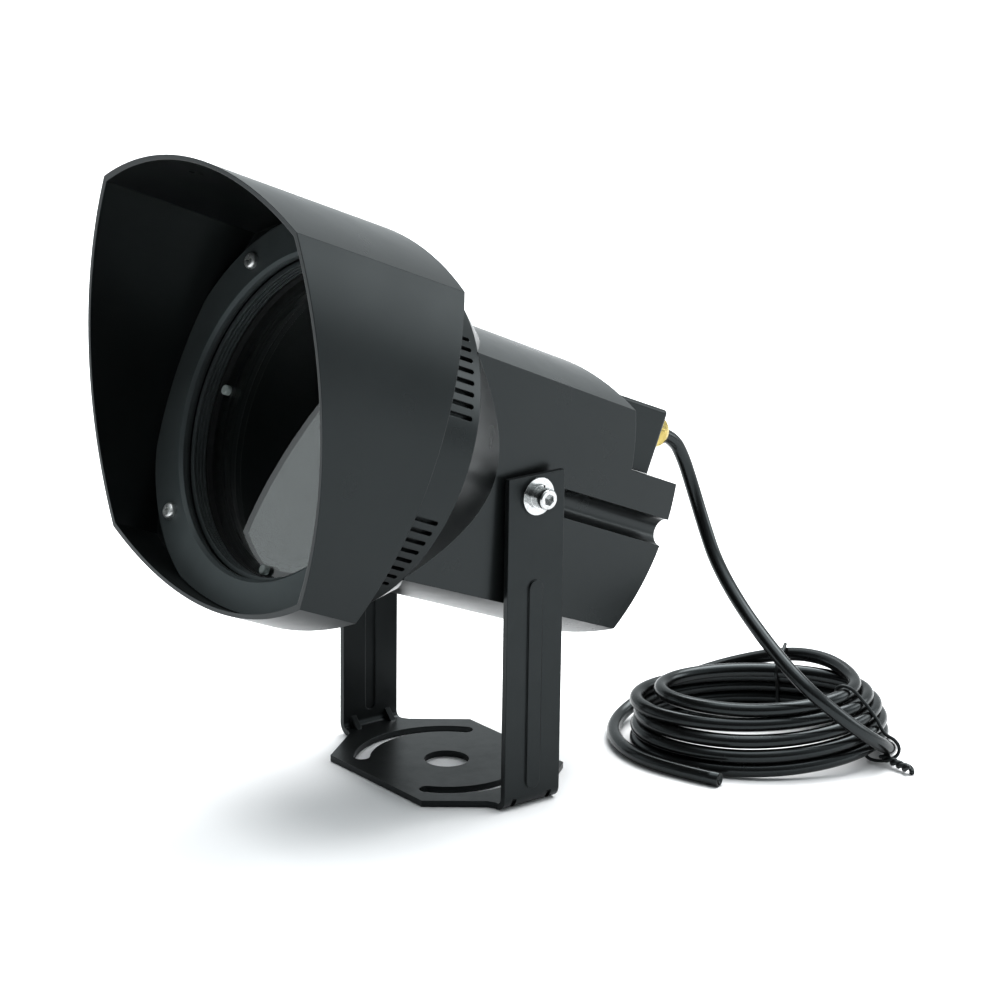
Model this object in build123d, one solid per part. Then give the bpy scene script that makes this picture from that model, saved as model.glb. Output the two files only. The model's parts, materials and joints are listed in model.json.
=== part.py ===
"""Underwater pond light: a moulded lamp with a long hood, tilting between the arms of a bent steel bracket.

Millimetres, +Z up. The light shines towards -Y. The origin is the centre of the mounting hole,
on the underside of the bracket's foot, which is the face that stands on the pond floor.
The lamp's own pieces are drawn level about the tilt pivot, front towards -Y, and then tilted and lifted.
"""
import math
import os

from build123d import *

os.makedirs("parts", exist_ok=True)

# ---------------------------------------------------------------- bracket
arm_outer = 67.0            # centre to the outer face of each arm
strip_width = 33.0
strip_thickness = 3.0
arm_height = 164.0
bend_radius = 6.0           # outside of the bend
foot_half_front = 37.5      # half length of the foot's front and rear edges
foot_half_depth = 43.5
foot_shoulder = (56.5, 18.5)  # where the foot's chamfer meets the strip
foot_hole = 22.0            # bore
slot_ring = 42.0            # radius of the two curved adjusting slots
slot_width = 8.0
slot_half_angle = 50.0
rib_width = 8.0
rib_span = (9.0, 113.0)      # heights the pressed rib runs between
rib_height = 0.9
dent_offset = 10.5          # stiffening dents in the bends, either side of the rib
dent_depth = 1.5

# ---------------------------------------------------------------- tilt pivot
pivot_height = 154.0
rest_tilt = 22.5            # front of the lamp raised
arm_hole = 6.2
screw_diameter = 6.0        # M6 socket cap screw
screw_head = (10.0, 6.0)
screw_length = 25.0
flat_washer = (18.0, 1.6)
spring_washer = (11.6, 1.6)
spacer_diameter = 11.0

# ---------------------------------------------------------------- lamp housing
# forward distances are measured from the pivot along the lamp's axis
side_at_pivot = 60.9        # centre to the flat side
side_draft = 0.088          # the sides open towards the front
crease_at_pivot = 53.0
crease_draft = 0.0175
crown_rise = 13.0           # how far top and bottom bow out
rear_arc = 108.0            # the rear end is an arc of this radius
rear_end = -100.0
joint_plane = 60.0          # housing meets the front ring
cone_front_radius = 85.0
cone_slope = 0.615
groove_width = 13.2
groove_depth = 7.0
recess_depth = 34.0         # step for the cable box in the upper rear
recess_floor = 24.5
wall = 4.0

# ---------------------------------------------------------------- front ring, glass and hood
ring_radius = 85.0
flange_front = 94.0
flange_radius = 93.0
slot_groups = 6
slots_per_group = 8
slot_pitch = 3.75           # degrees
slot_span = (64.0, 86.0)
glass_seat = 77.0
glass_radius = 77.4
glass_back = 80.0
glass_thickness = 5.0
baffle_span = (88.0, 96.0)
bezel_front = 102.4
bezel_radius = 97.4
bezel_opening = 77.4
bezel_screw_circle = 88.0
hood_half = 77.5            # centre to the hood's corners, across and up
hood_bow = 18.2
hood_wall = 2.0
hood_rear = 88.0
hood_top_front = 185.6
hood_bottom_front = 120.4
web_span = (94.0, 96.0)

# ---------------------------------------------------------------- cable box and gland
box_half = 45.0
box_top = 57.0
box_bottom = 24.8
box_rear = -84.4
gland_side = 25.5           # gland axis, to the near side of the centre
gland_up = 45.5
gland_end = -102.2

# ---------------------------------------------------------------- cable
cable = 7.0
coil_centre = (72.0, 142.0)
coil_turn = 51.65           # the coil's long axis, degrees from +X
coil_bottom = (64.5, 48.5)  # half axes outside, on the floor
coil_top = (54.0, 37.5)     # half axes outside, at the top
coil_height = 34.6
coil_band = 8.6             # thickness of the wound band
tie_wire = 1.6


# ================================================================ helpers
def at_lamp(shape):
    """Tilts a piece drawn level about the pivot and lifts it to the pivot's height."""
    return Pos(0, 0, pivot_height) * Rot(-rest_tilt, 0, 0) * shape


def lamp_point(side, forward, up):
    """A point of the level lamp, where it is when the lamp is tilted."""
    tilt = math.radians(rest_tilt)
    y = -forward * math.cos(tilt) + up * math.sin(tilt)
    z = forward * math.sin(tilt) + up * math.cos(tilt)
    return (side, y, pivot_height + z)


def section(forward):
    """Plane across the lamp's axis: x to the side, y up, extruding towards the front."""
    return Plane(origin=(0, -forward, 0), x_dir=(1, 0, 0), z_dir=(0, -1, 0))


def turned(*outline):
    """Solid turned about the lamp's axis from (radius, forward) points."""
    line = Polyline(*[(radius, -forward) for radius, forward in outline], close=True)
    return revolve(make_face(line), Axis.Y)


def disc(radius, back, front, bore=0.0):
    """Round plate across the lamp's axis."""
    face = Circle(radius) - Circle(bore) if bore else Circle(radius)
    return extrude(section(back) * face, front - back)


def bowed_square(half, bow):
    """Four outward bowed sides that meet at crisp corners."""
    mid = half + bow
    return make_face([
        ThreePointArc((-half, half), (0, mid), (half, half)),
        ThreePointArc((half, half), (mid, 0), (half, -half)),
        ThreePointArc((half, -half), (0, -mid), (-half, -half)),
        ThreePointArc((-half, -half), (-mid, 0), (-half, half)),
    ])


def across(x_start, x_end, diameter, y=0.0, z=0.0):
    """Cylinder along X between two stations."""
    plane = Plane(origin=(x_start, y, z), x_dir=(0, 1, 0), z_dir=(1, 0, 0))
    return extrude(plane * Circle(diameter / 2), x_end - x_start)


def both_sides(shape):
    """The piece and its twin on the other arm, as separate solids."""
    return Compound([shape, mirror(shape, Plane.YZ)])


# ================================================================ bracket
def make_bracket():
    inner = arm_outer - strip_thickness
    outside = Pos(0, 0, arm_height / 2) * Box(2 * arm_outer, strip_width, arm_height)
    outside = fillet(outside.edges().filter_by(Axis.Y).group_by(Axis.Z)[0], bend_radius)
    inside = Pos(0, 0, arm_height / 2 + strip_thickness) * Box(2 * inner, strip_width + 2, arm_height)
    inside = fillet(inside.edges().filter_by(Axis.Y).group_by(Axis.Z)[0], bend_radius - strip_thickness)
    strip = outside - inside
    shoulder_x, shoulder_y = foot_shoulder
    corner = strip_width / 2
    reach = arm_outer - bend_radius
    quarter = [(foot_half_front, foot_half_depth), (shoulder_x, shoulder_y), (reach - 1, corner)]
    rim = quarter + [(x, -y) for x, y in reversed(quarter)]
    rim += [(-x, -y) for x, y in quarter] + [(-x, y) for x, y in reversed(quarter)]
    foot = extrude(make_face(Polyline(*rim, close=True)), strip_thickness)
    body = strip + foot
    body -= Pos(0, 0, 1) * Cylinder(foot_hole / 2, 12)
    for side in (0, 180):
        path = CenterArc((0, 0), slot_ring, side - slot_half_angle, 2 * slot_half_angle)
        band = Circle(slot_ring + slot_width / 2) - Circle(slot_ring - slot_width / 2)
        reach_out = [PolarLocations(3 * slot_ring, 1, start_angle=side + a).locations[0].position
                     for a in (-slot_half_angle, 0, slot_half_angle)]
        wedge = make_face(Polyline((0, 0), *[(p.X, p.Y) for p in reach_out], close=True))
        curved = extrude(band & wedge, 12, both=True)
        ends = [Pos(*(path @ end)) * Cylinder(slot_width / 2, 24) for end in (0, 1)]
        body -= curved + ends[0] + ends[1]
    body -= across(-arm_outer - 5, arm_outer + 5, arm_hole, z=pivot_height)
    # a long pressed rib up the outside of each arm, hollow on the inside
    rib_middle = (rib_span[0] + rib_span[1]) / 2
    rib_length = rib_span[1] - rib_span[0]
    for side in (1, -1):
        face = Plane(origin=(side * arm_outer, 0, rib_middle), x_dir=(0, 0, 1), z_dir=(side, 0, 0))
        back = Plane(origin=(side * inner, 0, rib_middle), x_dir=(0, 0, 1), z_dir=(side, 0, 0))
        body += extrude(face * SlotOverall(rib_length, rib_width), rib_height)
        body -= extrude(back * SlotOverall(rib_length - 2, rib_width - 2), rib_height)
    # short stiffening webs pressed into the inside of each bend, which leave dents outside
    bend_middle = [value * bend_radius for value in (math.sqrt(0.5), 1 - math.sqrt(0.5))]
    bend_middle[0] += arm_outer - bend_radius
    for side in (1, -1):
        for y in (-dent_offset, dent_offset):
            web = Polyline((0, 0), (-side * 5.5, 0), (0, 5.5), close=True)
            plane = Plane(origin=(side * inner, y + 1.6, strip_thickness), x_dir=(1, 0, 0), z_dir=(0, -1, 0))
            body += extrude(plane * make_face(web), 3.2)
            dent = Rot(0, -side * 45, 0) * Box(12, 2.6, 2 * dent_depth)
            body -= Pos(side * bend_middle[0], y, bend_middle[1]) * dent
    return body


# ================================================================ pivot hardware
def make_pivot_hardware():
    washer_face = arm_outer + flat_washer[1]
    head_face = washer_face + spring_washer[1]
    groove_floor = side_at_pivot - groove_depth
    washer = across(arm_outer, washer_face, flat_washer[0]) - across(arm_outer, washer_face, 6.4)
    spring = across(washer_face, head_face, spring_washer[0]) - across(washer_face, head_face, 6.4)
    gap = Pos((washer_face + head_face) / 2, 0, 4.5) * Rot(20, 0, 0) * Box(4, 0.9, 4)
    spring -= gap
    head = across(head_face, head_face + screw_head[1], screw_head[0])
    head = chamfer(head.edges().group_by(Axis.X)[-1], 0.6)
    socket_plane = Plane(origin=(head_face + screw_head[1], 0, 0), x_dir=(0, 1, 0), z_dir=(1, 0, 0))
    head -= extrude(socket_plane * RegularPolygon(5 / math.sqrt(3), 6), -3.2)
    shank = across(head_face - screw_length, head_face, screw_diameter)
    spacer = across(groove_floor, arm_outer - strip_thickness, spacer_diameter)
    spacer -= across(groove_floor, arm_outer, 6.4)
    insert = across(groove_floor - 12, groove_floor, 9.0)
    insert -= across(groove_floor - 12, groove_floor, 6.2)
    return {
        "pivot_screws": head + shank,
        "pivot_spring_washers": spring,
        "pivot_washers": washer,
        "pivot_spacers": spacer,
        "pivot_inserts": insert,
    }


# ================================================================ lamp housing
def rounded_box_section(forward):
    side = side_at_pivot + side_draft * forward
    crease = crease_at_pivot + crease_draft * forward
    crown = crease + crown_rise
    outline = [
        ThreePointArc((-side, crease), (0, crown), (side, crease)),
        Line((side, crease), (side, -crease)),
        ThreePointArc((side, -crease), (0, -crown), (-side, -crease)),
        Line((-side, -crease), (-side, crease)),
    ]
    return section(forward) * make_face(outline)


def rear_bulge(shift=0.0):
    """Cylinder across the lamp whose back is the curved rear end."""
    centre = rear_end + rear_arc + shift
    return Pos(0, -centre, 0) * Rot(0, 90, 0) * Cylinder(rear_arc, 200)


def make_housing():
    shell = loft([rounded_box_section(joint_plane), rounded_box_section(rear_end - 2)], ruled=True)
    shell = shell & rear_bulge()
    cone_back = joint_plane - (cone_front_radius - 48.0) / cone_slope
    shell += turned((0, cone_back), (48.0, cone_back), (cone_front_radius, joint_plane), (0, joint_plane))
    # step in the upper rear that takes the cable box
    recess = Pos(0, 100, recess_floor + 30) * Box(160, 120, 60)
    shell -= recess - rear_bulge(recess_depth)
    # side grooves from the pivot to the open rear end, with a round seat for the spacer
    lean = math.degrees(math.atan(side_draft))
    channel = Pos(groove_width / 2 - groove_depth, 60, 0) * Rot(90, 0, 0) * Cylinder(groove_width / 2, 120)
    channel += Pos(groove_width / 2 - groove_depth + 10, 60, 0) * Box(20, 120, groove_width)
    groove = Pos(side_at_pivot, 0, 0) * Rot(0, 0, lean) * channel
    seat = across(side_at_pivot - groove_depth, side_at_pivot + 12, groove_width)
    hole = across(side_at_pivot - groove_depth - 12.5, side_at_pivot, 9.1)
    for cut in (groove, seat, hole):
        shell -= cut
        shell -= mirror(cut, Plane.YZ)
    # lamp chamber and the way through for the leads
    shell -= turned((0, -15), (36, -15), (36, 8), (70, joint_plane), (70, joint_plane + 1), (0, joint_plane + 1))
    shell -= Pos(0, 40, 29.5) * Rot(90, 0, 0) * Cylinder(4, 90)
    return shell


# ================================================================ front ring, glass, bezel
def make_front_ring():
    ring = turned(
        (70, joint_plane), (ring_radius, joint_plane), (ring_radius, hood_rear), (flange_radius, hood_rear),
        (flange_radius, flange_front), (78, flange_front), (78, glass_seat), (70, glass_seat),
    )
    length = slot_span[1] - slot_span[0] - 2.2
    middle = (slot_span[0] + slot_span[1]) / 2
    slot = Pos(0, -middle, ring_radius) * Box(2.2, length, 6)
    for end in (-1, 1):
        slot += Pos(0, -middle + end * length / 2, ring_radius) * Cylinder(1.1, 6)
    slots = []
    for group in range(slot_groups):
        for index in range(slots_per_group):
            angle = 60 + 60 * group + (index - (slots_per_group - 1) / 2) * slot_pitch
            slots.append(Rot(0, angle, 0) * slot)
    ring -= slots
    for angle in range(45, 360, 90):
        ring -= bezel_screw_place(angle) * disc(2.0, hood_rear - 1, flange_front + 1)
    return ring


def bezel_screw_place(angle):
    return Rot(0, angle, 0) * Pos(0, 0, bezel_screw_circle)


def make_bezel():
    ring = turned(
        (bezel_opening + 1.4, web_span[1]), (bezel_radius, web_span[1]), (bezel_radius, bezel_front - 0.8),
        (bezel_radius - 0.8, bezel_front), (bezel_opening + 1.6, bezel_front), (bezel_opening, bezel_front - 1.6),
        (bezel_opening, web_span[1] + 2.4), (bezel_opening + 1.4, web_span[1] + 2.4),
    )
    inside = bowed_square(hood_half - hood_wall - 0.3, hood_bow)
    ring = ring & extrude(section(web_span[1] - 1) * inside, 20)
    for angle in range(45, 360, 90):
        ring -= bezel_screw_place(angle) * disc(2.25, web_span[1] - 1, bezel_front + 1)
    return ring


def make_bezel_screws():
    screws = []
    for angle in range(45, 360, 90):
        head = disc(4.0, bezel_front, bezel_front + 2.6)
        head = fillet(head.edges().group_by(Axis.Y)[0], 1.6)
        cross = Box(4.6, 3.2, 0.9) + Box(0.9, 3.2, 4.6)
        head -= Pos(0, -(bezel_front + 2.6), 0) * Rot(0, 20, 0) * cross
        screw = head + disc(1.95, hood_rear + 1, bezel_front)
        screws.append(bezel_screw_place(angle) * screw)
    return Compound(screws)


def make_baffle():
    back, front = baffle_span
    outline = [(77.6, back), (77.6, front)]
    pitch = (front - back) / 4
    for rib in range(4):
        start = front - rib * pitch
        outline += [(75.4, start), (75.4, start - pitch / 2), (76.4, start - pitch / 2), (76.4, start - pitch)]
    return turned(*outline)


def make_pegs():
    peg = fillet(Cylinder(2.5, 3).edges().group_by(Axis.Z)[-1], 1.0)
    front = glass_back + glass_thickness
    standing = Pos(0, -(front + 1.5), 72.0) * Rot(90, 0, 0) * peg
    return Compound([Rot(0, angle, 0) * standing for angle in range(0, 360, 90)])


# ================================================================ hood
def make_hood():
    length = hood_top_front + 20 - hood_rear
    outer = extrude(section(hood_rear) * bowed_square(hood_half, hood_bow), length)
    inner = extrude(section(hood_rear) * bowed_square(hood_half - hood_wall, hood_bow), length)
    shell = outer - inner
    web = extrude(section(web_span[0]) * bowed_square(hood_half - 1, hood_bow), web_span[1] - web_span[0])
    web -= disc(80.0, web_span[0] - 1, web_span[1] + 1)
    for angle in range(45, 360, 90):
        web -= bezel_screw_place(angle) * disc(2.25, web_span[0] - 1, web_span[1] + 1)
    shell += web
    # the front is cut on a slant, longest at the top
    run = (hood_top_front - hood_bottom_front) / (2 * hood_half)
    top = (-(hood_top_front + run * 60), hood_half + 60)
    bottom = (-(hood_bottom_front - run * 60), -hood_half - 60)
    cutter = make_face(Plane.YZ * Polyline(top, bottom, (-320, bottom[1]), (-320, top[1]), close=True))
    return shell - extrude(cutter, 150, both=True)


# ================================================================ light source
def make_reflector():
    focus, depth, rim = 5.0, 71.0, 68.0
    stations = [10.0, 14.0, 20.0, 30.0, 42.0, 56.0, 68.0]
    outside = [(rim * math.sqrt((s - focus) / depth), s) for s in stations]
    inside = [(radius - 1.2, s + 0.3) for radius, s in reversed(outside)]
    lip = [(68.5, glass_seat), (76.5, glass_seat), (76.5, glass_seat + 1), (67.3, glass_seat + 1)]
    return turned(*outside, *lip, *inside)


def make_lamp_capsule():
    bulb = disc(6.0, 12.5, 36.0)
    return fillet(bulb.edges().group_by(Axis.Y)[0], 5.5)


def make_lamp_holder():
    holder = disc(12.0, -15.0, 9.5) + disc(8.0, 9.5, 12.5)
    return chamfer(holder.edges().group_by(Axis.Y)[-1], 0.8)


# ================================================================ cable box and gland
def make_cable_box():
    depth = box_rear * -1 - 40
    outer = Pos(0, 40 + depth / 2, (box_top + box_bottom) / 2) * Box(2 * box_half, depth, box_top - box_bottom)
    rounded = outer.edges().group_by(Axis.Y)[-1] + outer.edges().filter_by(Axis.Y)
    outer = fillet([edge for edge in rounded if edge.center().Z > box_bottom + 1], 2.0)
    inner = Pos(0, 40 + (depth - wall) / 2, (box_top + box_bottom) / 2)
    inner *= Box(2 * (box_half - wall), depth - wall, box_top - box_bottom - 2 * wall)
    box = outer - inner - rear_bulge(recess_depth - 0.1)
    return box - gland_disc(6.05, box_rear - 1, box_rear + wall + 1)


def gland_disc(radius, back, front, bore=0.0):
    return Pos(gland_side, 0, gland_up) * disc(radius, back, front, bore)


def make_gland_body():
    hexagon = extrude(section(box_rear - 4.5) * RegularPolygon(9.8, 6), 4.5)
    body = Pos(gland_side, 0, gland_up) * hexagon
    body += gland_disc(6.0, box_rear, box_rear + wall + 4)
    body += gland_disc(6.2, box_rear - 11.5, box_rear - 4.5)
    return body - gland_disc(4.2, box_rear - 13, box_rear + wall + 6)


def make_gland_nut():
    back = gland_end
    front = box_rear - 4.8
    prism = extrude(section(back) * Rot(0, 0, 12) * RegularPolygon(8.9, 6), front - back)
    steps = [(8.5, front), (8.5, front - 7.2), (8.0, front - 9.4), (7.0, front - 11.4), (5.4, back)]
    nut = prism & turned((0, front), *steps, (0, back))
    nut -= disc(6.35, box_rear - 11.8, front)
    nut -= disc(4.0, back - 1, front)
    return Pos(gland_side, 0, gland_up) * nut


# ================================================================ cable
def coil_shell(grow=0.0):
    """The wound band as one solid: an oval ring that narrows towards its top."""
    bottom_outer = Ellipse(coil_bottom[0] + grow, coil_bottom[1] + grow)
    top_outer = Pos(0, 0, coil_height + grow) * Ellipse(coil_top[0] + grow, coil_top[1] + grow)
    inset = coil_band + grow
    bottom_inner = Pos(0, 0, -1) * Ellipse(coil_bottom[0] - inset, coil_bottom[1] - inset)
    top_inner = Pos(0, 0, coil_height + grow + 1) * Ellipse(coil_top[0] - inset, coil_top[1] - inset)
    return loft([bottom_outer, top_outer]) - loft([bottom_inner, top_inner])


def at_coil(shape):
    return Pos(*coil_centre, 0) * Rot(0, 0, coil_turn) * shape


def coil_point(along, across_, up):
    """A point given in the coil's own axes, long axis first."""
    turn = math.radians(coil_turn)
    x = coil_centre[0] + along * math.cos(turn) - across_ * math.sin(turn)
    y = coil_centre[1] + along * math.sin(turn) + across_ * math.cos(turn)
    return (x, y, up)


# the cable leaves the gland, droops round the near side of the coil and runs down into its lowest turn
drop_route = [
    lamp_point(gland_side, gland_end, gland_up),
    lamp_point(gland_side, gland_end - 8.5, gland_up),
    (26, 126.2, 143.5),
    (28.5, 131.2, 127),
    (35, 133.5, 109),
    (47, 132, 92),
    (67.5, 130.5, 75),
    (91, 129, 61),
    (108, 129, 51.5),
    (120, 132.5, 43),
    coil_point(34.5, -43.5, 33),
    coil_point(47, -39.5, 22.5),
    coil_point(58, -31, 13),
    coil_point(64, -18, 6.5),
    coil_point(61, -5, 4.5),
]

# the last turn leaves the top of the coil at the back, comes down to the floor and ends cut off
tail_route = [
    coil_point(46.5, 8, 33),
    coil_point(41.5, 17, 36.5),
    coil_point(33, 29, 37.5),
    coil_point(19.5, 40.5, 35.5),
    coil_point(2, 48.5, 30.5),
    coil_point(-22, 54, 22),
    coil_point(-48, 50.5, 12.5),
    coil_point(-67.5, 33, 5.5),
    coil_point(-74, 9, 3.6),
    coil_point(-68, -18, 3.6),
    coil_point(-50, -40, 3.6),
    coil_point(-23, -56, 3.6),
]


def cable_tube(name, route):
    """Straight runs joined by arcs, each as large as its two runs allow."""
    points = [Vector(*point) for point in route]
    runs = [after - before for before, after in zip(points, points[1:])]
    radii = []
    for before, after in zip(runs, runs[1:]):
        turn = math.radians(before.get_angle(after))
        radii.append(0.45 * min(before.length, after.length) / math.tan(turn / 2))
    path = FilletPolyline(*points, radius=radii)
    start = Plane(origin=path @ 0, z_dir=path % 0)
    tube = sweep(start * Circle(cable / 2), path=path)
    expected = math.pi * cable**2 / 4 * path.length
    print(name, "length", round(path.length, 1), "radii", [round(r) for r in radii])
    print(name, "volume over section times length", round(tube.volume / expected, 4))
    return tube


def make_tie(angle):
    """Wire pulled tight round the wound band where it passes one direction from the coil's centre."""
    wire = coil_shell(tie_wire) - coil_shell()
    slab = Rot(0, 0, angle) * Pos(60, 0, 25) * Box(60, tie_wire, 49.8)
    return wire & slab


def make_right_tie(drop):
    """Tie round the near side of the coil, let round the drop, and its twisted ends lying on the floor."""
    tie = at_coil(make_tie(-20)) - drop
    knot_place = coil_point(61.3, -23.2, 2.4)
    knot = Pos(*knot_place) * Sphere(2.2)
    start = coil_point(61.3, -23.2, 1.3)
    tails = []
    for end in (coil_point(73, -37, 1.3), coil_point(71, -40.5, 1.3)):
        path = Line(start, end)
        tails.append(sweep(Plane(origin=start, z_dir=path % 0) * Circle(1.1), path=path))
    return tie, knot + tails[0] + tails[1]


# ================================================================ export
bracket_nodes = {"mounting_bracket": make_bracket()}
cable_drop = cable_tube("cable_drop", drop_route)
knot_tie, knot_tails = make_right_tie(cable_drop)
cable_nodes = {
    "cable_drop": cable_drop,
    "cable_coil": at_coil(coil_shell()),
    "cable_tail": cable_tube("cable_tail", tail_route),
    "cable_tie_right": knot_tie,
    "cable_tie_knot": knot_tails,
    "cable_tie_rear": at_coil(make_tie(76)),
}
lamp_nodes = {name: both_sides(shape) for name, shape in make_pivot_hardware().items()}
lamp_nodes |= {
    "lamp_housing": make_housing(),
    "front_ring": make_front_ring(),
    "glass_seat_gasket": disc(77.0, glass_seat + 1, glass_back, 70.5),
    "glass_lens": disc(glass_radius, glass_back, glass_back + glass_thickness),
    "glass_front_gasket": disc(77.4, glass_back + glass_thickness, baffle_span[0], 75.0),
    "glass_pegs": make_pegs(),
    "ribbed_baffle": make_baffle(),
    "hood": make_hood(),
    "bezel_ring": make_bezel(),
    "bezel_screws": make_bezel_screws(),
    "reflector": make_reflector(),
    "lamp_capsule": make_lamp_capsule(),
    "lamp_holder": make_lamp_holder(),
    "cable_box": make_cable_box(),
    "gland_body": make_gland_body(),
    "gland_nut": make_gland_nut(),
    "gland_seal": gland_disc(3.9, gland_end, gland_end + 10),
}

for name, shape in (bracket_nodes | cable_nodes).items():
    export_step(shape, f"parts/{name}.step")
for name, shape in lamp_nodes.items():
    export_step(at_lamp(shape), f"parts/{name}.step")
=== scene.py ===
import json
import math

import bpy
from mathutils import Matrix, Vector


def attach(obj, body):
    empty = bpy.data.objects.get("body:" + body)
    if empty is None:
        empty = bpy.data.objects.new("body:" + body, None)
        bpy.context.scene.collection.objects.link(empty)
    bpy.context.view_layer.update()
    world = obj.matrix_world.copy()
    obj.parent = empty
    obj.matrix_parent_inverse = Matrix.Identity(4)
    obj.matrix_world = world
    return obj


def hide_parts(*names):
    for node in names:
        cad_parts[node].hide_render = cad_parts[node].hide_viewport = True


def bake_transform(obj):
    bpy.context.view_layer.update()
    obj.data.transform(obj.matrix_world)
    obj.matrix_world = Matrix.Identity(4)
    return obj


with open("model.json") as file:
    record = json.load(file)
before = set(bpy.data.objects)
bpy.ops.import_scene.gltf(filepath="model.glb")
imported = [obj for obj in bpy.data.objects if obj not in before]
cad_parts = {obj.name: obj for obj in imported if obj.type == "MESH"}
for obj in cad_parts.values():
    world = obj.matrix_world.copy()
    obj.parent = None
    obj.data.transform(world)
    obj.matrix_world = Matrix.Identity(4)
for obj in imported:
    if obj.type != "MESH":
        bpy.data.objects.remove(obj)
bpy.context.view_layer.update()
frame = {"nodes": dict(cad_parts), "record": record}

MM = 0.001


def add_object(name, data):
    """A new object with this data, linked into the scene."""
    made = bpy.data.objects.new(name, data)
    bpy.context.scene.collection.objects.link(made)
    return made


# ---------------------------------------------------------------- camera
AZIMUTH = math.radians(51.65)
ELEVATION = math.radians(16.41)
ROLL = math.radians(0.81)
DISTANCE = 1.5457
AIM_HEIGHT = 0.130
AIM_SIDEWAYS = 0.02385        # both from a point above the foot
AIM_UPWARD = 0.00592
LENS = 115.54                 # millimetres, as Blender has it
SENSOR = 36
LENS_SHIFT = 0.0013
NEAR_CLIP, FAR_CLIP = 0.05, 50


def place_camera():
    back = Vector((
        math.sin(AZIMUTH) * math.cos(ELEVATION),
        -math.cos(AZIMUTH) * math.cos(ELEVATION),
        math.sin(ELEVATION),
    ))
    right = Vector((math.cos(AZIMUTH), math.sin(AZIMUTH), 0))
    up = back.cross(right)
    aim = Vector((0, 0, AIM_HEIGHT)) + AIM_SIDEWAYS * right + AIM_UPWARD * up
    side_axis = right * math.cos(ROLL) + up * math.sin(ROLL)
    up_axis = up * math.cos(ROLL) - right * math.sin(ROLL)

    data = bpy.data.cameras.new("camera")
    data.lens = LENS
    data.sensor_width = SENSOR
    data.shift_x = LENS_SHIFT
    data.clip_start = NEAR_CLIP
    data.clip_end = FAR_CLIP
    camera = add_object("camera", data)
    camera.matrix_world = Matrix((side_axis, up_axis, back)).transposed().to_4x4()
    camera.location = aim + back * DISTANCE
    bpy.context.scene.camera = camera


place_camera()

# ---------------------------------------------------------------- cable route
# the CAD's points outside the coil, joined by the turns that the CAD has as one band
CABLE = 0.007                 # diameter
PIVOT_HEIGHT = 0.154
REST_TILT = math.radians(22.5)
COIL_CENTRE = (0.072, 0.142)
COIL_TURN = math.radians(51.65)
GLAND = (25.5, 45.5)          # sideways and up from the lamp's axis, in millimetres
GLAND_END = -102.2            # forward along that axis
STRAIGHT_EXIT = 8.5


def lamp_point(side, forward, upward):
    """A point of the level lamp in millimetres, where it is with the lamp at rest."""
    y = -forward * math.cos(REST_TILT) + upward * math.sin(REST_TILT)
    z = forward * math.sin(REST_TILT) + upward * math.cos(REST_TILT)
    return Vector((side * MM, y * MM, PIVOT_HEIGHT + z * MM))


def coil_point(along, across, upward):
    """A point in the coil's own axes, in millimetres, long axis first."""
    x = along * math.cos(COIL_TURN) - across * math.sin(COIL_TURN)
    y = along * math.sin(COIL_TURN) + across * math.cos(COIL_TURN)
    return Vector((COIL_CENTRE[0] + x * MM, COIL_CENTRE[1] + y * MM, upward * MM))


def place(x, y, z):
    """A point given in millimetres."""
    return Vector((x, y, z)) * MM


drop_route = [
    lamp_point(GLAND[0], GLAND_END, GLAND[1]),
    lamp_point(GLAND[0], GLAND_END - STRAIGHT_EXIT, GLAND[1]),
    place(26, 126.2, 143.5),
    place(28.5, 131.2, 127),
    place(35, 133.5, 109),
    place(47, 132, 92),
    place(67.5, 130.5, 75),
    place(91, 129, 61),
    place(108, 129, 51.5),
    place(120, 132.5, 43),
    coil_point(34.5, -43.5, 33),
    coil_point(47, -39.5, 22.5),
    coil_point(58, -31, 13),
    coil_point(65, -18, 6),
]

# stages of the winding: degrees wound, half axes, centre and height of the turn there
stages = [
    (0, 62.5, 45, 0, 0, 3.6),
    (250, 61, 45, 0, 0, 3.6),
    (355, 61.5, 45, 0, 0, 10.6),
    (610, 61, 45, 0, 0, 10.6),
    (715, 60.5, 43.5, 0, 0, 17.5),
    (970, 59.5, 42.5, 0, 0, 17.5),
    (1075, 59.5, 40, -2, 0, 24.2),
    (1330, 59, 37.5, -3, 0, 24.4),
    (1435, 55, 35, -2, -1, 29.8),
    (1540, 49.5, 32, -1, -3, 30.3),
    (1690, 48.5, 32, -1, -3, 31.3),
    (1795, 47.5, 33, -1, -1, 35),
]
POINTS_PER_TURN = 14
TURNS = 5
OUTSIDE_CURVE = 1.025         # the line passes inside its control points


def winding():
    """The coil's control points, eased from each stage of the winding to the next."""
    points = []
    for index in range(POINTS_PER_TURN * TURNS + 1):
        wound = 360 * index / POINTS_PER_TURN
        before, after = next(
            (a, b) for a, b in zip(stages, stages[1:]) if wound <= b[0] or b is stages[-1]
        )
        share = min(1, max(0, (wound - before[0]) / (after[0] - before[0])))
        share = share * share * (3 - 2 * share)
        long_half, short_half, along, across, height = [
            a + (b - a) * share for a, b in zip(before[1:], after[1:])
        ]
        angle = math.radians(wound)
        points.append(coil_point(
            along + long_half * OUTSIDE_CURVE * math.cos(angle),
            across + short_half * OUTSIDE_CURVE * math.sin(angle),
            height,
        ))
    return points


tail_route = [
    coil_point(42.5, 15, 37),
    coil_point(33, 29, 37.5),
    coil_point(19.5, 40.5, 35.5),
    coil_point(2, 48.5, 30.5),
    coil_point(-22, 54, 22),
    coil_point(-48, 50.5, 12.5),
    coil_point(-67.5, 33, 5.5),
    coil_point(-74, 9, 3.6),
    coil_point(-68, -18, 3.6),
    coil_point(-50, -40, 3.6),
    coil_point(-23, -56, 3.6),
]

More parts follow.
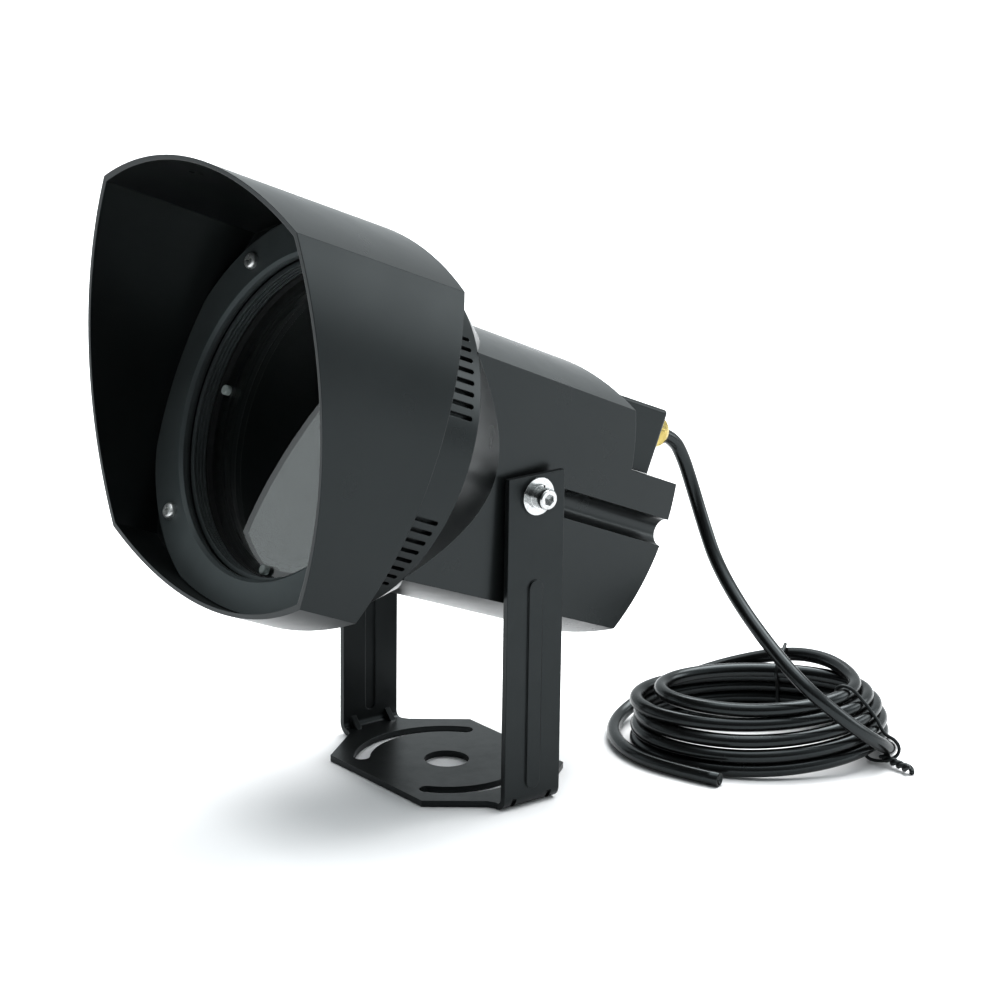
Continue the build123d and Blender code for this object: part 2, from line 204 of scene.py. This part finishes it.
# ---------------------------------------------------------------- tubes along lines
UPWARD = Vector((0, 0, 1))
STEEP = 0.9                   # a direction steeper than this takes another guide

# rings that finish a cut end: share of the sheath's radius, and how far behind the tip
CUT_END = ((0.97, -0.00008), (0.74, 0.0), (0.70, 0.0006))


def smooth_line(points, closed=False, detail=10):
    """Points along the smooth line that these control points make, so many to a control point."""
    data = bpy.data.curves.new("route", "CURVE")
    data.dimensions = "3D"
    data.resolution_u = detail
    spline = data.splines.new("NURBS")
    spline.points.add(len(points) - 1)
    for point, where in zip(spline.points, points):
        point.co = (*where, 1)
    spline.order_u = 3
    spline.use_cyclic_u = closed
    spline.use_endpoint_u = not closed
    carrier = add_object("route", data)
    bpy.context.view_layer.update()
    mesh = bpy.data.meshes.new_from_object(carrier)
    line = [vertex.co.copy() for vertex in mesh.vertices]
    bpy.data.objects.remove(carrier)
    bpy.data.meshes.remove(mesh)
    return line


def new_piece(name, vertices, faces, smooth=True):
    mesh = bpy.data.meshes.new(name)
    mesh.from_pydata([tuple(v) for v in vertices], [], faces)
    mesh.validate()
    mesh.update()
    for polygon in mesh.polygons:
        polygon.use_smooth = smooth
    return add_object(name, mesh)


def rings_along(line, radius, sides, closed=False):
    """Rings of vertices round a line, turned no more than the line turns them.

    The radius is a number, or a function of the share of the line that lies behind.
    """
    last = len(line) - 1
    angles = [2 * math.pi * k / sides for k in range(sides)]
    rings = []
    normal = None
    for index, centre in enumerate(line):
        before = line[index - 1] if index or closed else line[0]
        after = line[(index + 1) % len(line)] if index < last or closed else line[-1]
        tangent = (after - before).normalized()
        if normal is None:
            guide = UPWARD if abs(tangent.z) < STEEP else Vector((1, 0, 0))
            normal = tangent.cross(guide).normalized()
        normal = (normal - tangent * normal.dot(tangent)).normalized()
        other = tangent.cross(normal)
        size = radius(index / last) if callable(radius) else radius
        rings.append([
            centre + size * (normal * math.cos(angle) + other * math.sin(angle)) for angle in angles
        ])
    return rings


def skin(rings, closed=False, start=0):
    """Faces between neighbouring rings, whose vertices count from start, and flat ends if not closed."""
    sides = len(rings[0])
    spans = len(rings) if closed else len(rings) - 1
    faces = []
    for row in range(spans):
        here = start + row * sides
        there = start + (row + 1) % len(rings) * sides
        for k in range(sides):
            beside = (k + 1) % sides
            faces.append((here + k, here + beside, there + beside, there + k))
    if not closed:
        end = start + spans * sides
        faces.append(tuple(start + k for k in reversed(range(sides))))
        faces.append(tuple(end + k for k in range(sides)))
    return faces


def tube(name, line, radius, sides, closed=False, cut_end=False):
    """A round solid along a line. A cut end shows the sheath's edge round a slightly deeper core."""
    rings = rings_along(line, radius, sides, closed)
    if cut_end:
        tip = line[-1]
        inward = (line[-2] - tip).normalized()
        edge = rings[-1]
        for share, depth in CUT_END:
            rings.append([tip + (v - tip) * share + inward * depth for v in edge])
    return new_piece(name, [v for ring in rings for v in ring], skin(rings, closed))


cable_line = smooth_line(drop_route + winding() + tail_route)
cable = tube("cable", cable_line, CABLE / 2, sides=24, cut_end=True)
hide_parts("cable_drop", "cable_coil", "cable_tail")

# ---------------------------------------------------------------- tie wires
TIE_RADIUS = 0.00085
TIE_SIDES = 10
TIE_DETAIL = 6                # points of the line to a control point, as for the knot
KNOT_RADIUS = 0.00105
KNOT_SIDES = 8
KNOT_DETAIL = 8
STRAND_RADIUS = 0.00095
STRAND_SWELL = 0.0004         # how much thicker the twisted wires are at their ends
STRAND_GAP = 0.0012           # from the middle of the twist to the middle of a wire
STRAND_PARTING = 0.0014       # how much wider the gap is at the ends
PARTS_AT = 0.86               # the share of the twist where the wires begin to part
TWIST = 4.4 * math.pi
TWIST_FLATNESS = 0.8


def from_coil(points):
    return [coil_point(*point) for point in points]


# round the near side: over the strands and the drop, under the lowest turn, knotted at the front
near_loop = from_coil([
    (37.2, -15.4, 32.6), (35.4, -17, 37.2), (38.8, -18.5, 39.6), (43.5, -19.8, 38.2),
    (47.8, -20.2, 33.6), (51.2, -20.3, 29.6), (54.2, -20.4, 25.4), (57, -20.5, 21.5),
    (58.8, -20.6, 17.5), (61.2, -20.8, 14.4), (65.4, -21, 12.4), (68.2, -21.8, 8.6),
    (67.4, -22.8, 4.6), (63.5, -23.8, 2.6), (58, -22.5, 1.2), (53, -19, 1.2),
    (51.2, -17, 4), (51.6, -16.6, 12), (50.4, -16.4, 17.5), (46.8, -16, 23.5), (41.4, -15.6, 28.6),
])
near_line = smooth_line(near_loop, closed=True, detail=TIE_DETAIL)
near_tie = tube("tie_near", near_line, TIE_RADIUS, TIE_SIDES, closed=True)
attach(near_tie, "bracket")
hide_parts("cable_tie_right")


def twisted_strand(spine, start_angle):
    """The rings of one of two wires that are twisted about a spine and part near its end."""
    last = len(spine) - 1
    line = []
    for index, centre in enumerate(spine):
        share = index / last
        gap = STRAND_GAP + STRAND_PARTING * max(0, share - PARTS_AT) / (1 - PARTS_AT)
        angle = start_angle + share * TWIST
        forward = (spine[min(index + 1, last)] - spine[max(index - 1, 0)]).normalized()
        flat = forward.cross(UPWARD).normalized()
        lift = flat.cross(forward)
        line.append(centre + gap * (flat * math.cos(angle) + lift * math.sin(angle) * TWIST_FLATNESS))
    return rings_along(line, lambda share: STRAND_RADIUS + STRAND_SWELL * share, KNOT_SIDES)


def twisted_ends():
    """Two wires twisted about each other, with a loop of wire round their start."""
    spine = smooth_line(from_coil([
        (59.5, -21.5, 3.4), (62, -25, 3.4), (66, -29.5, 3.0), (69.5, -34, 2.7), (72, -37.5, 2.8),
    ]))
    loop = smooth_line(from_coil([
        (59.5, -24.5, 3.2), (61.5, -22, 5.0), (63.2, -24, 3.6),
        (61.5, -25.5, 2.4), (59.8, -23, 2.8), (61.6, -22.8, 4.6),
    ]), closed=True, detail=KNOT_DETAIL)
    wires = [
        (twisted_strand(spine, 0), False),
        (twisted_strand(spine, math.pi), False),
        (rings_along(loop, KNOT_RADIUS, KNOT_SIDES, closed=True), True),
    ]
    vertices, faces = [], []
    for rings, closed in wires:
        faces += skin(rings, closed, start=len(vertices))
        vertices += [v for ring in rings for v in ring]
    return new_piece("tie_near_knot", vertices, faces)


knot = twisted_ends()
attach(knot, "bracket")
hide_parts("cable_tie_knot")

# round the rear of the coil, under the lowest turn and over the last loose one
rear_loop = from_coil([
    (14, 50.3, 1.2), (14.5, 50.5, 8), (14.5, 49.8, 16), (14.2, 48.8, 24), (14.8, 48.4, 31),
    (15.3, 47.4, 36.4), (15.8, 43.2, 40.2), (14.4, 37.8, 38.6), (12, 31.5, 35.6), (10, 25.4, 34.6),
    (9.5, 23.8, 30), (10.3, 26.3, 26), (11, 31.6, 22.4), (11.8, 36, 16), (12.2, 38.2, 9),
    (12.6, 39.2, 2), (13.4, 44, 0.9),
])
rear_line = smooth_line(rear_loop, closed=True, detail=TIE_DETAIL)
rear_tie = tube("tie_rear", rear_line, TIE_RADIUS, TIE_SIDES, closed=True)
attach(rear_tie, "bracket")
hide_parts("cable_tie_rear")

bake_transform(cable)


# ---------------------------------------------------------------- materials
COOL = (0.86, 0.97, 1.0, 1)   # the black finishes gleam a little cool
NOISE_LOW, NOISE_HIGH = 0.3, 0.7    # nearly all of a noise lies between these
EDGE_SAMPLES = 6


class Shade:
    """A Principled material with helpers for its patterned inputs."""

    def __init__(self, name, **sockets):
        self.material = bpy.data.materials.new(name)
        self.material.use_nodes = True
        self.tree = self.material.node_tree
        self.shader = self.tree.nodes["Principled BSDF"]
        for socket, value in sockets.items():
            self.shader.inputs[socket.replace("_", " ")].default_value = value
        self.coordinates = self.node("ShaderNodeTexCoord").outputs["Object"]
        self.normal = None

    def node(self, kind, **values):
        made = self.tree.nodes.new(kind)
        for name, value in values.items():
            setattr(made, name, value)
        return made

    def link(self, source, target):
        self.tree.links.new(source, target)

    def noise(self, scale, detail=3.0, roughness=0.55, stretch=None):
        """Noise with features of about 1/scale metres."""
        texture = self.node("ShaderNodeTexNoise")
        texture.inputs["Scale"].default_value = scale
        texture.inputs["Detail"].default_value = detail
        texture.inputs["Roughness"].default_value = roughness
        source = self.coordinates
        if stretch:
            mapping = self.node("ShaderNodeMapping")
            mapping.inputs["Scale"].default_value = stretch
            self.link(source, mapping.inputs["Vector"])
            source = mapping.outputs["Vector"]
        self.link(source, texture.inputs["Vector"])
        return texture.outputs["Fac"]

    def colour(self, value, dark, light):
        """The base colour, from dark where a noise is low to light where it is high."""
        ramp = self.node("ShaderNodeValToRGB")
        low, high = ramp.color_ramp.elements
        low.position = NOISE_LOW
        high.position = NOISE_HIGH
        low.color = (*dark, 1)
        high.color = (*light, 1)
        self.link(value, ramp.inputs["Fac"])
        self.link(ramp.outputs["Color"], self.shader.inputs["Base Color"])

    def rough(self, value, smoothest, roughest):
        """The roughness, from smoothest where a noise is low to roughest where it is high."""
        ramp = self.node("ShaderNodeMapRange")
        ramp.inputs["From Min"].default_value = NOISE_LOW
        ramp.inputs["From Max"].default_value = NOISE_HIGH
        ramp.inputs["To Min"].default_value = smoothest
        ramp.inputs["To Max"].default_value = roughest
        self.link(value, ramp.inputs["Value"])
        self.link(ramp.outputs["Result"], self.shader.inputs["Roughness"])

    def round_edges(self, radius):
        edge = self.node("ShaderNodeBevel", samples=EDGE_SAMPLES)
        edge.inputs["Radius"].default_value = radius
        self.normal = edge.outputs["Normal"]
        self.link(self.normal, self.shader.inputs["Normal"])

    def bump(self, value, depth, strength):
        """A relief, on top of the rounded edges if there are any."""
        relief = self.node("ShaderNodeBump")
        relief.inputs["Strength"].default_value = strength
        relief.inputs["Distance"].default_value = depth
        self.link(value, relief.inputs["Height"])
        if self.normal:
            self.link(self.normal, relief.inputs["Normal"])
        self.normal = relief.outputs["Normal"]
        self.link(self.normal, self.shader.inputs["Normal"])


def powder_coat():
    shade = Shade("bracket_powder_coat", Specular_IOR_Level=0.32, Specular_Tint=COOL)
    cloud = shade.noise(scale=38, detail=4)
    shade.colour(cloud, dark=(0.0050, 0.0058, 0.0060), light=(0.0075, 0.0085, 0.0087))
    shade.rough(shade.noise(scale=160, detail=5), smoothest=0.30, roughest=0.38)
    shade.round_edges(radius=0.0006)
    shade.bump(shade.noise(scale=1500, detail=2), depth=0.00003, strength=0.35)
    return shade.material


def satin_moulding(name, smoothest, roughest, grain, depth, tone=0.0055):
    """A satin moulding, cloudy round a tone that is a little green and blue."""
    shade = Shade(name, Specular_IOR_Level=0.32, Specular_Tint=COOL)
    cloud = shade.noise(scale=22, detail=4)
    dark = (tone * 0.85, tone, tone * 1.02)
    light = (tone * 1.2, tone * 1.4, tone * 1.43)
    shade.colour(cloud, dark, light)
    shade.rough(shade.noise(scale=30, detail=3), smoothest, roughest)
    shade.round_edges(radius=0.0005)
    shade.bump(shade.noise(scale=grain, detail=2), depth, strength=0.2)
    return shade.material


def stainless():
    shade = Shade("stainless_steel", Metallic=1.0)
    lines = shade.noise(scale=60, detail=3, stretch=(1, 14, 14))
    shade.colour(lines, dark=(0.38, 0.39, 0.39), light=(0.60, 0.61, 0.61))
    shade.rough(shade.noise(scale=700, detail=3), smoothest=0.10, roughest=0.18)
    shade.round_edges(radius=0.00025)
    shade.bump(shade.noise(scale=2600, detail=1), depth=0.00001, strength=0.25)
    return shade.material


def zinc_plated():
    shade = Shade("zinc_plated_screws", Metallic=1.0)
    blotches = shade.noise(scale=900, detail=3)
    shade.colour(blotches, dark=(0.62, 0.63, 0.62), light=(0.86, 0.87, 0.86))
    shade.rough(shade.noise(scale=1500, detail=2), smoothest=0.34, roughest=0.48)
    shade.round_edges(radius=0.0002)
    shade.bump(shade.noise(scale=2600, detail=1), depth=0.00001, strength=0.2)
    return shade.material


def brass():
    shade = Shade("gland_brass", Metallic=1.0)
    tarnish = shade.noise(scale=120, detail=4)
    shade.colour(tarnish, dark=(0.30, 0.24, 0.075), light=(0.50, 0.41, 0.17))
    shade.rough(shade.noise(scale=600, detail=3), smoothest=0.18, roughest=0.32)
    shade.round_edges(radius=0.0004)
    turning = shade.noise(scale=1800, detail=1, stretch=(1, 0.2, 0.2))
    shade.bump(turning, depth=0.00001, strength=0.3)
    return shade.material


def rubber(name, smoothest, roughest, tone):
    shade = Shade(name, Specular_IOR_Level=0.45, Specular_Tint=COOL)
    shade.colour(shade.noise(scale=55, detail=4), dark=(tone * 0.8,) * 3, light=(tone * 1.25,) * 3)
    shade.rough(shade.noise(scale=260, detail=5), smoothest, roughest)
    shade.bump(shade.noise(scale=1400, detail=3), depth=0.00004, strength=0.3)
    return shade.material


def clear_glass():
    """The front glass, with a higher index than real glass so that it reflects more."""
    shade = Shade("front_glass", Roughness=0.0, IOR=1.9, Transmission_Weight=1.0)
    shade.colour(shade.noise(scale=8), dark=(0.90, 0.955, 0.93), light=(0.93, 0.97, 0.95))
    return shade.material


def clear_plastic():
    shade = Shade("clear_plastic", Roughness=0.12, IOR=1.49, Transmission_Weight=0.6)
    shade.colour(shade.noise(scale=400), dark=(0.50, 0.57, 0.55), light=(0.72, 0.79, 0.77))
    shade.round_edges(radius=0.0003)
    return shade.material


def quartz():
    shade = Shade("quartz", Roughness=0.03, IOR=1.46, Transmission_Weight=1.0)
    shade.colour(shade.noise(scale=90), dark=(0.90, 0.92, 0.92), light=(0.97, 0.98, 0.98))
    return shade.material


# painted shade: the bowl inside the lamp is made near-black because the lamp's inside lies in shade, not
# because the bowl has that colour of its own
def bowl_painted_black_for_shade():
    shade = Shade("bowl_painted_black_for_shade", Specular_IOR_Level=0.3)
    shade.colour(shade.noise(scale=60), dark=(0.0015, 0.0015, 0.0017), light=(0.003, 0.003, 0.0034))
    shade.rough(shade.noise(scale=300), smoothest=0.5, roughest=0.62)
    return shade.material


looks = {
    "bracket_coat": powder_coat(),
    "black_moulding": satin_moulding("satin_black_moulding", 0.27, 0.31, grain=900, depth=0.00003),
    "front_moulding": satin_moulding(
        "smooth_black_moulding", 0.34, 0.40, grain=1300, depth=0.00002, tone=0.05
    ),
    "spacer_plastic": satin_moulding("spacer_moulding", 0.45, 0.55, grain=1300, depth=0.00003),
    "stainless": stainless(),
    "gland_brass": brass(),
    "clear_glass": clear_glass(),
    "lamp_glass": quartz(),
    "clear_plastic": clear_plastic(),
    "seal_rubber": rubber("seal_rubber", 0.55, 0.7, tone=0.012),
    "cable_rubber": rubber("cable_rubber", 0.20, 0.28, tone=0.005),
    "tie_coating": rubber("tie_coating", 0.35, 0.5, tone=0.006),
    # the bowl's near-black colour is painted shade
    "bowl_black": bowl_painted_black_for_shade(),
    "holder_plastic": satin_moulding("holder_plastic", 0.5, 0.6, grain=900, depth=0.00003),
}
slot_of = {part["node"]: part["material_slot"] for part in frame["record"]["subparts"]}
for node, shown in frame["nodes"].items():
    shown.data.materials.clear()
    shown.data.materials.append(looks[slot_of[node]])
frame["nodes"]["bezel_screws"].data.materials[0] = zinc_plated()
cable.data.materials.append(looks["cable_rubber"])
for wire in (near_tie, knot, rear_tie):
    wire.data.materials.append(looks["tie_coating"])

# ---------------------------------------------------------------- floor
FLOOR_HALF = 6
FLOOR_DROP = 0.0003           # below the underside of the foot


def pale_floor():
    corners = [(x * FLOOR_HALF, y * FLOOR_HALF, 0) for x, y in ((-1, -1), (1, -1), (1, 1), (-1, 1))]
    made = new_piece("floor", corners, [(0, 1, 2, 3)], smooth=False)
    shade = Shade("pale_floor", Roughness=0.9, Specular_IOR_Level=0.1)
    shade.colour(shade.noise(scale=1.5), dark=(0.86, 0.86, 0.865), light=(0.88, 0.88, 0.885))
    made.data.materials.append(shade.material)
    made.location.z = -FLOOR_DROP
    return made


floor = pale_floor()


# ---------------------------------------------------------------- light
def softbox(name, where, toward, size, watts):
    data = bpy.data.lights.new(name, "AREA")
    data.shape = "RECTANGLE"
    data.size, data.size_y = size
    data.energy = watts
    box = add_object(name, data)
    box.location = where
    box.visible_camera = False
    box.rotation_euler = (Vector(toward) - Vector(where)).to_track_quat("-Z", "Y").to_euler()


def sky_light(strength, spread, lean):
    """A very soft sun from nearly straight overhead."""
    data = bpy.data.lights.new("sky", "SUN")
    data.energy = strength
    data.angle = math.radians(spread)
    sun = add_object("sky", data)
    sun.rotation_euler = [math.radians(angle) for angle in lean]


softbox("overhead", where=(-0.5, 0.9, 2.0), toward=(0.02, 0.0, 0.15), size=(2.0, 1.2), watts=44)
softbox("rear_right", where=(0.86, 1.55, 0.75), toward=(0, 0, 0.2), size=(1.0, 0.7), watts=9)
sky_light(strength=2.6, spread=70, lean=(-8, -6, 0))

DARK_SIDE = (0.55, -0.82, -0.15)    # roughly where the camera stands
DARKENS_FROM, DARKENS_TO = 0.1, 0.9
BRIGHTEST, DARKEST = 1.0, 0.12
STUDIO_COLOUR = (0.94, 1.0, 1.02, 1)
BACKDROP_COLOUR = (1, 1, 1, 1)


def studio():
    """A bright studio, darker on one side, which the camera itself sees as plain white."""
    world = bpy.data.worlds.new("studio")
    world.use_nodes = True
    nodes = world.node_tree.nodes
    link = world.node_tree.links.new

    direction = nodes.new("ShaderNodeTexCoord")
    toward_dark = nodes.new("ShaderNodeVectorMath")
    toward_dark.operation = "DOT_PRODUCT"
    toward_dark.inputs[1].default_value = DARK_SIDE
    link(direction.outputs["Generated"], toward_dark.inputs[0])

    falloff = nodes.new("ShaderNodeMapRange")
    falloff.interpolation_type = "SMOOTHSTEP"
    falloff.inputs["From Min"].default_value = DARKENS_FROM
    falloff.inputs["From Max"].default_value = DARKENS_TO
    falloff.inputs["To Min"].default_value = BRIGHTEST
    falloff.inputs["To Max"].default_value = DARKEST
    link(toward_dark.outputs["Value"], falloff.inputs["Value"])

    around = nodes["Background"]
    around.inputs["Color"].default_value = STUDIO_COLOUR
    link(falloff.outputs["Result"], around.inputs["Strength"])
    backdrop = nodes.new("ShaderNodeBackground")
    backdrop.inputs["Color"].default_value = BACKDROP_COLOUR
    backdrop.inputs["Strength"].default_value = 1.0

    rays = nodes.new("ShaderNodeLightPath")
    mixed = nodes.new("ShaderNodeMixShader")
    link(rays.outputs["Is Camera Ray"], mixed.inputs["Fac"])
    link(around.outputs["Background"], mixed.inputs[1])
    link(backdrop.outputs["Background"], mixed.inputs[2])
    link(mixed.outputs["Shader"], nodes["World Output"].inputs["Surface"])
    return world


bpy.context.scene.world = studio()
bpy.context.scene.view_settings.view_transform = "Standard"
bpy.context.scene.view_settings.gamma = 0.86
